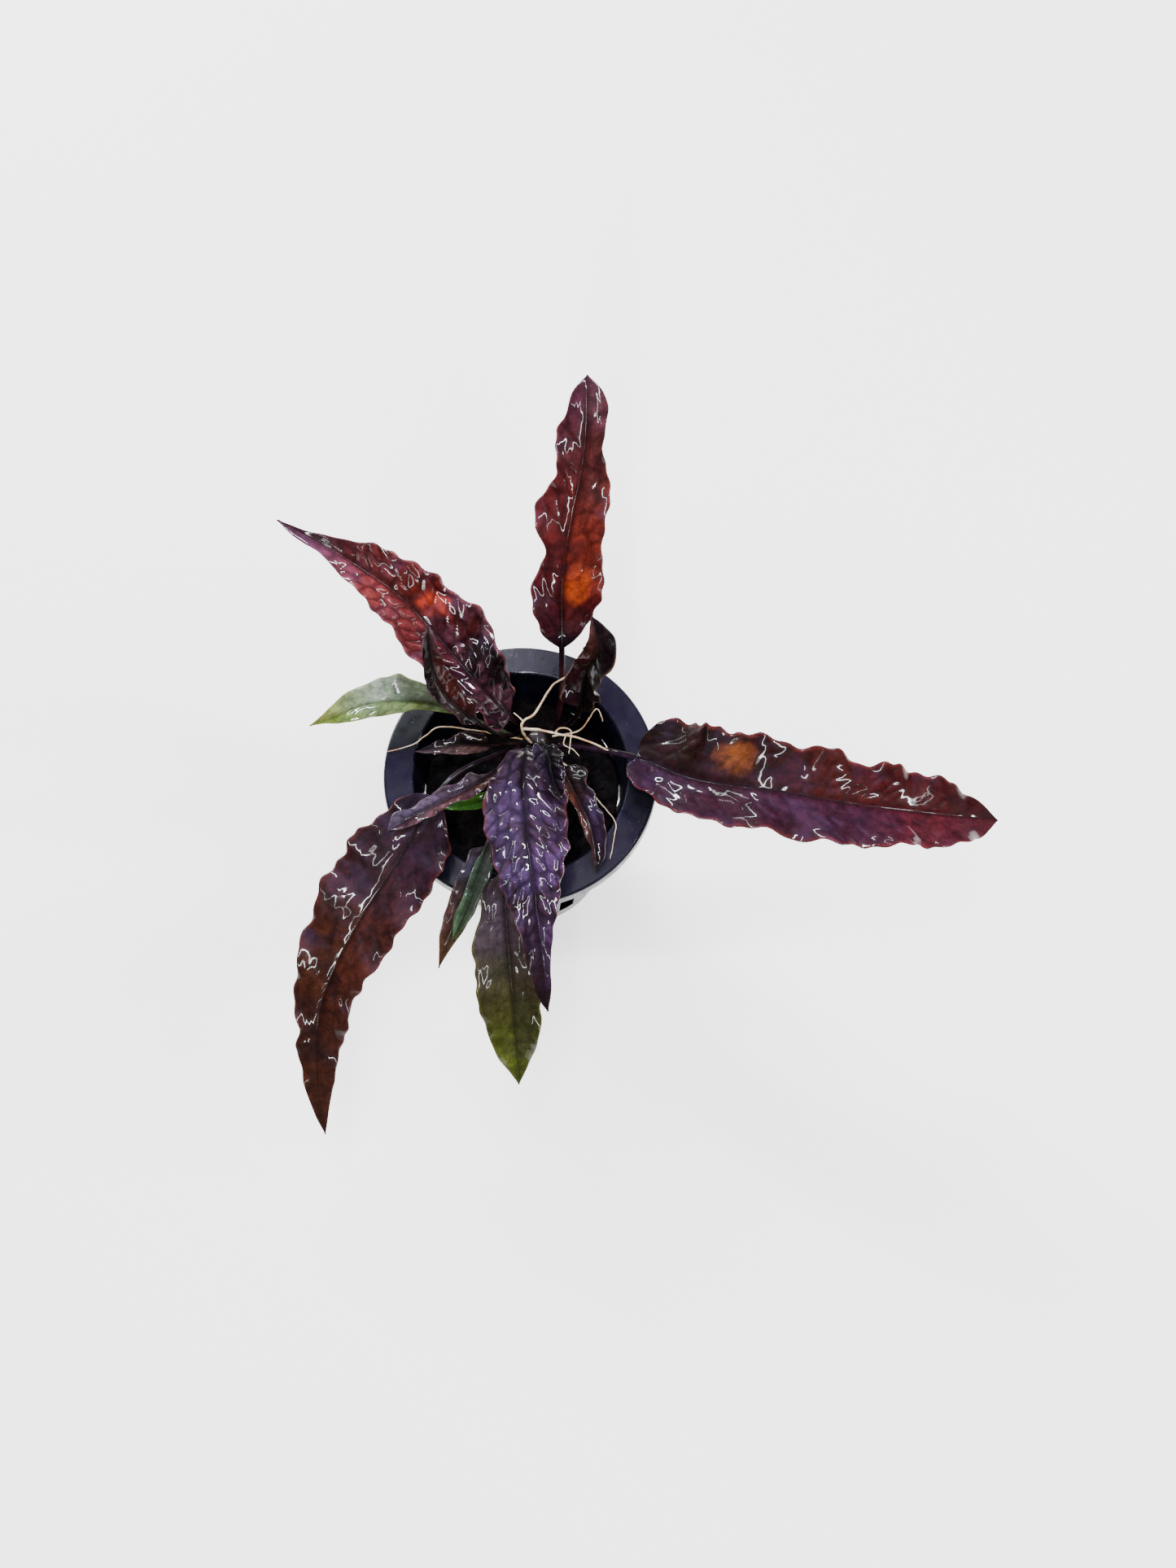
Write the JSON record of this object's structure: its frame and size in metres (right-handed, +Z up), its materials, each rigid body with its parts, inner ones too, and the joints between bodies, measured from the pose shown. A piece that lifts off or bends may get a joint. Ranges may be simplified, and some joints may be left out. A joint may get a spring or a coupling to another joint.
{
  "type": "potted cryptocoryne wendtii",
  "caption": "Low rosette of wavy brown and green leaves on thin stalks, growing from a slotted black plastic net pot that stands on its flat base.",
  "frame": {"origin": "centre of the pot's flat base, on the surface that it stands on", "axes": "+Z up along the pot's axis; -Y is the front, where the middle leaf hangs over the rim; +X is the right, where the longest leaf reaches"},
  "size_m": [0.1271, 0.1207, 0.086],
  "materials": {
    "pot_plastic": "smooth moulded black plastic, wet",
    "growing_medium": "dark moist plant fibre",
    "crown_tissue": "brown stem tissue, wet",
    "leaf_rust": "rust red and brown leaf, puckered and wet",
    "leaf_brown": "dark chocolate brown leaf, puckered and wet",
    "leaf_purple": "brown leaf with a mauve sheen, puckered and wet",
    "leaf_olive": "olive leaf with parallel veins, wet",
    "leaf_green": "smooth green leaf, wet",
    "leaf_lime": "pale green leaf, wet",
    "root_tissue": "cream roots, wet"
  },
  "bodies": {
    "root": {"pot": "pot_plastic", "growing_medium": "growing_medium", "crown": "crown_tissue", "leaf_back": "leaf_rust", "leaf_back_left": "leaf_rust", "leaf_back_left_small": "leaf_brown", "leaf_left_lime": "leaf_lime", "leaf_left_small": "leaf_brown", "leaf_left": "leaf_brown", "leaf_left_green": "leaf_green", "leaf_front_left": "leaf_brown", "leaf_front_left_small": "leaf_olive", "leaf_front_sliver": "leaf_green", "leaf_front": "leaf_purple", "leaf_front_green": "leaf_olive", "leaf_young": "leaf_purple", "leaf_right_small": "leaf_brown", "leaf_right": "leaf_rust", "leaf_back_curled": "leaf_olive", "root_main": "root_tissue", "root_left": "root_tissue", "root_back": "root_tissue", "root_front": "root_tissue"}
  },
  "joints": []
}
